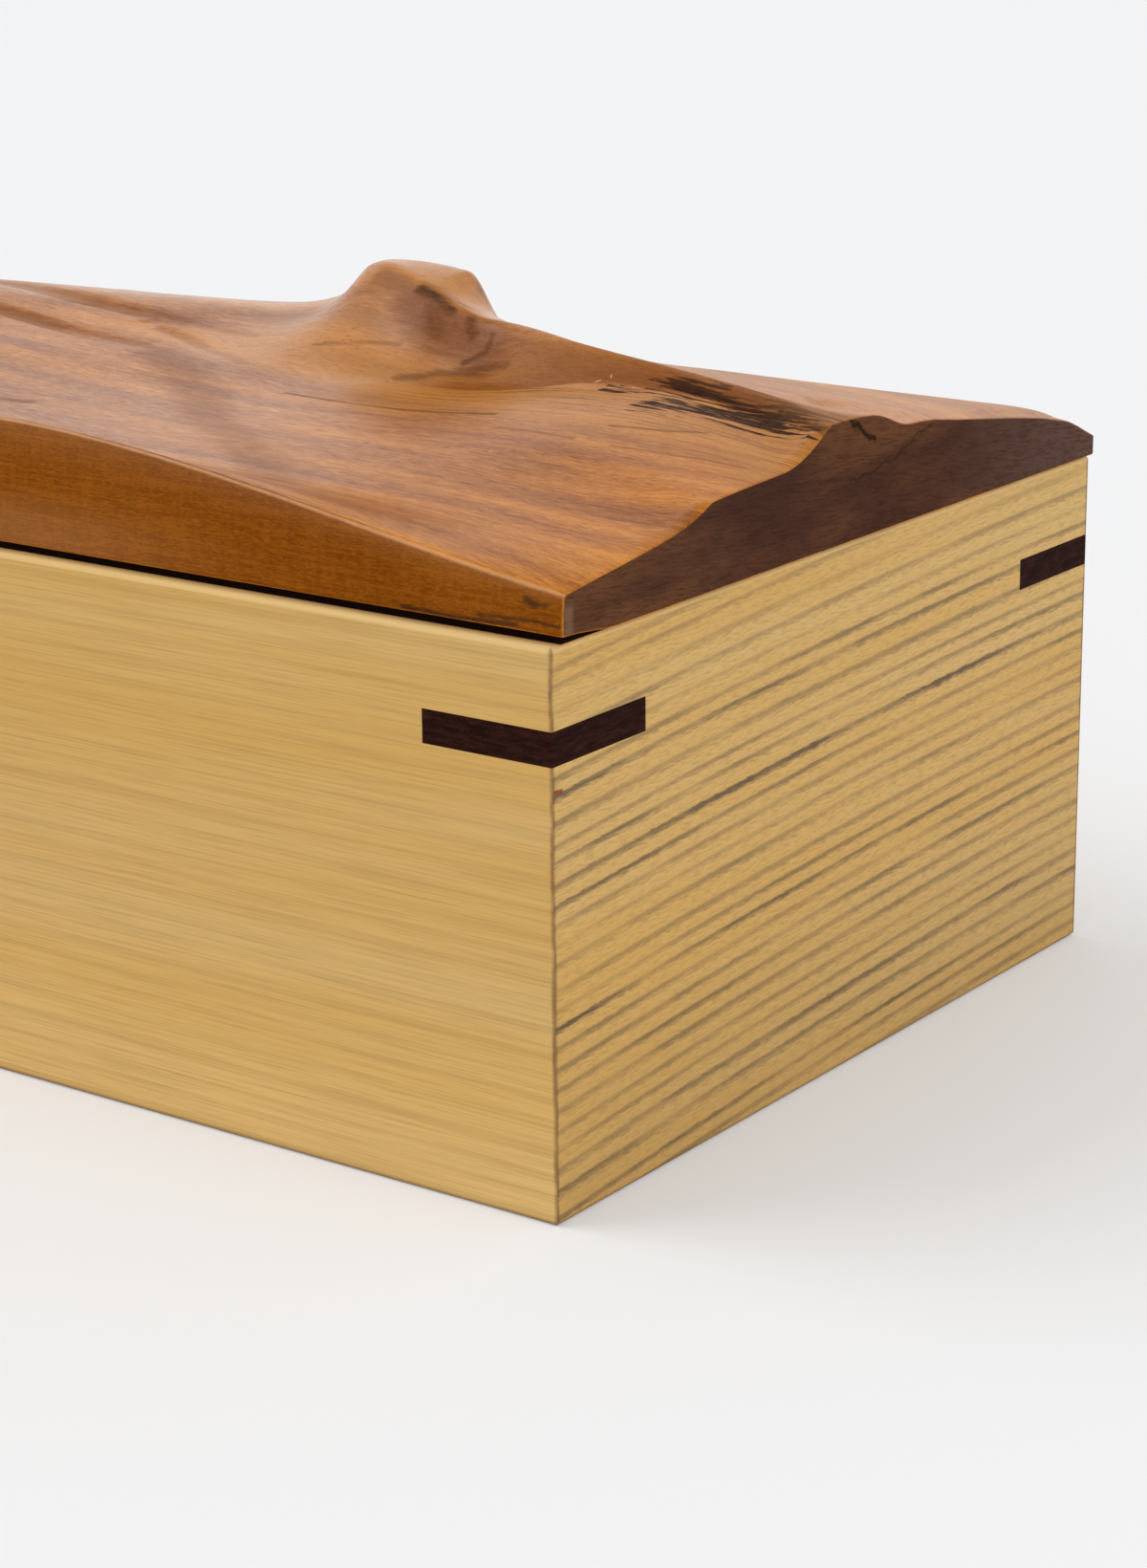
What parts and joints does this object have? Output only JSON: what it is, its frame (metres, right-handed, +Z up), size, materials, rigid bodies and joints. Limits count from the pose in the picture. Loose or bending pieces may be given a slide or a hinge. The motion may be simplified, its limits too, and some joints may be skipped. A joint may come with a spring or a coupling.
{
  "type": "keepsake box",
  "caption": "Rectangular mitred softwood box with dark corner keys and a thick carved hardwood lid that lifts off, for papers and keepsakes.",
  "frame": {"origin": "centre of the footprint, on the surface that the box stands on", "axes": "+X along the length to the right end, +Y from the front to the back, +Z up"},
  "size_m": [0.2828, 0.18, 0.1298],
  "materials": {
    "body_wood": "planed pale softwood with a thin satin finish",
    "key_wood": "dark hardwood, flush and satin",
    "lid_wood": "reddish brown hardwood, sanded smooth, oiled satin",
    "screw_brass": "brass"
  },
  "bodies": {
    "box": {"front_wall": "body_wood", "back_wall": "body_wood", "left_end_wall": "body_wood", "right_end_wall": "body_wood", "bottom_panel": "body_wood", "front_left_key": "key_wood", "front_right_key": "key_wood", "back_right_key": "key_wood", "back_left_key": "key_wood"},
    "lid": {"carved_lid": "lid_wood", "right_lid_batten": "body_wood", "left_lid_batten": "body_wood", "batten_screws": "screw_brass"}
  },
  "joints": [
    {"name": "lid_lift", "type": "slide", "parent": "box", "child": "lid", "axis": [0, 0, 1], "range_m": [0, 0.15]}
  ]
}
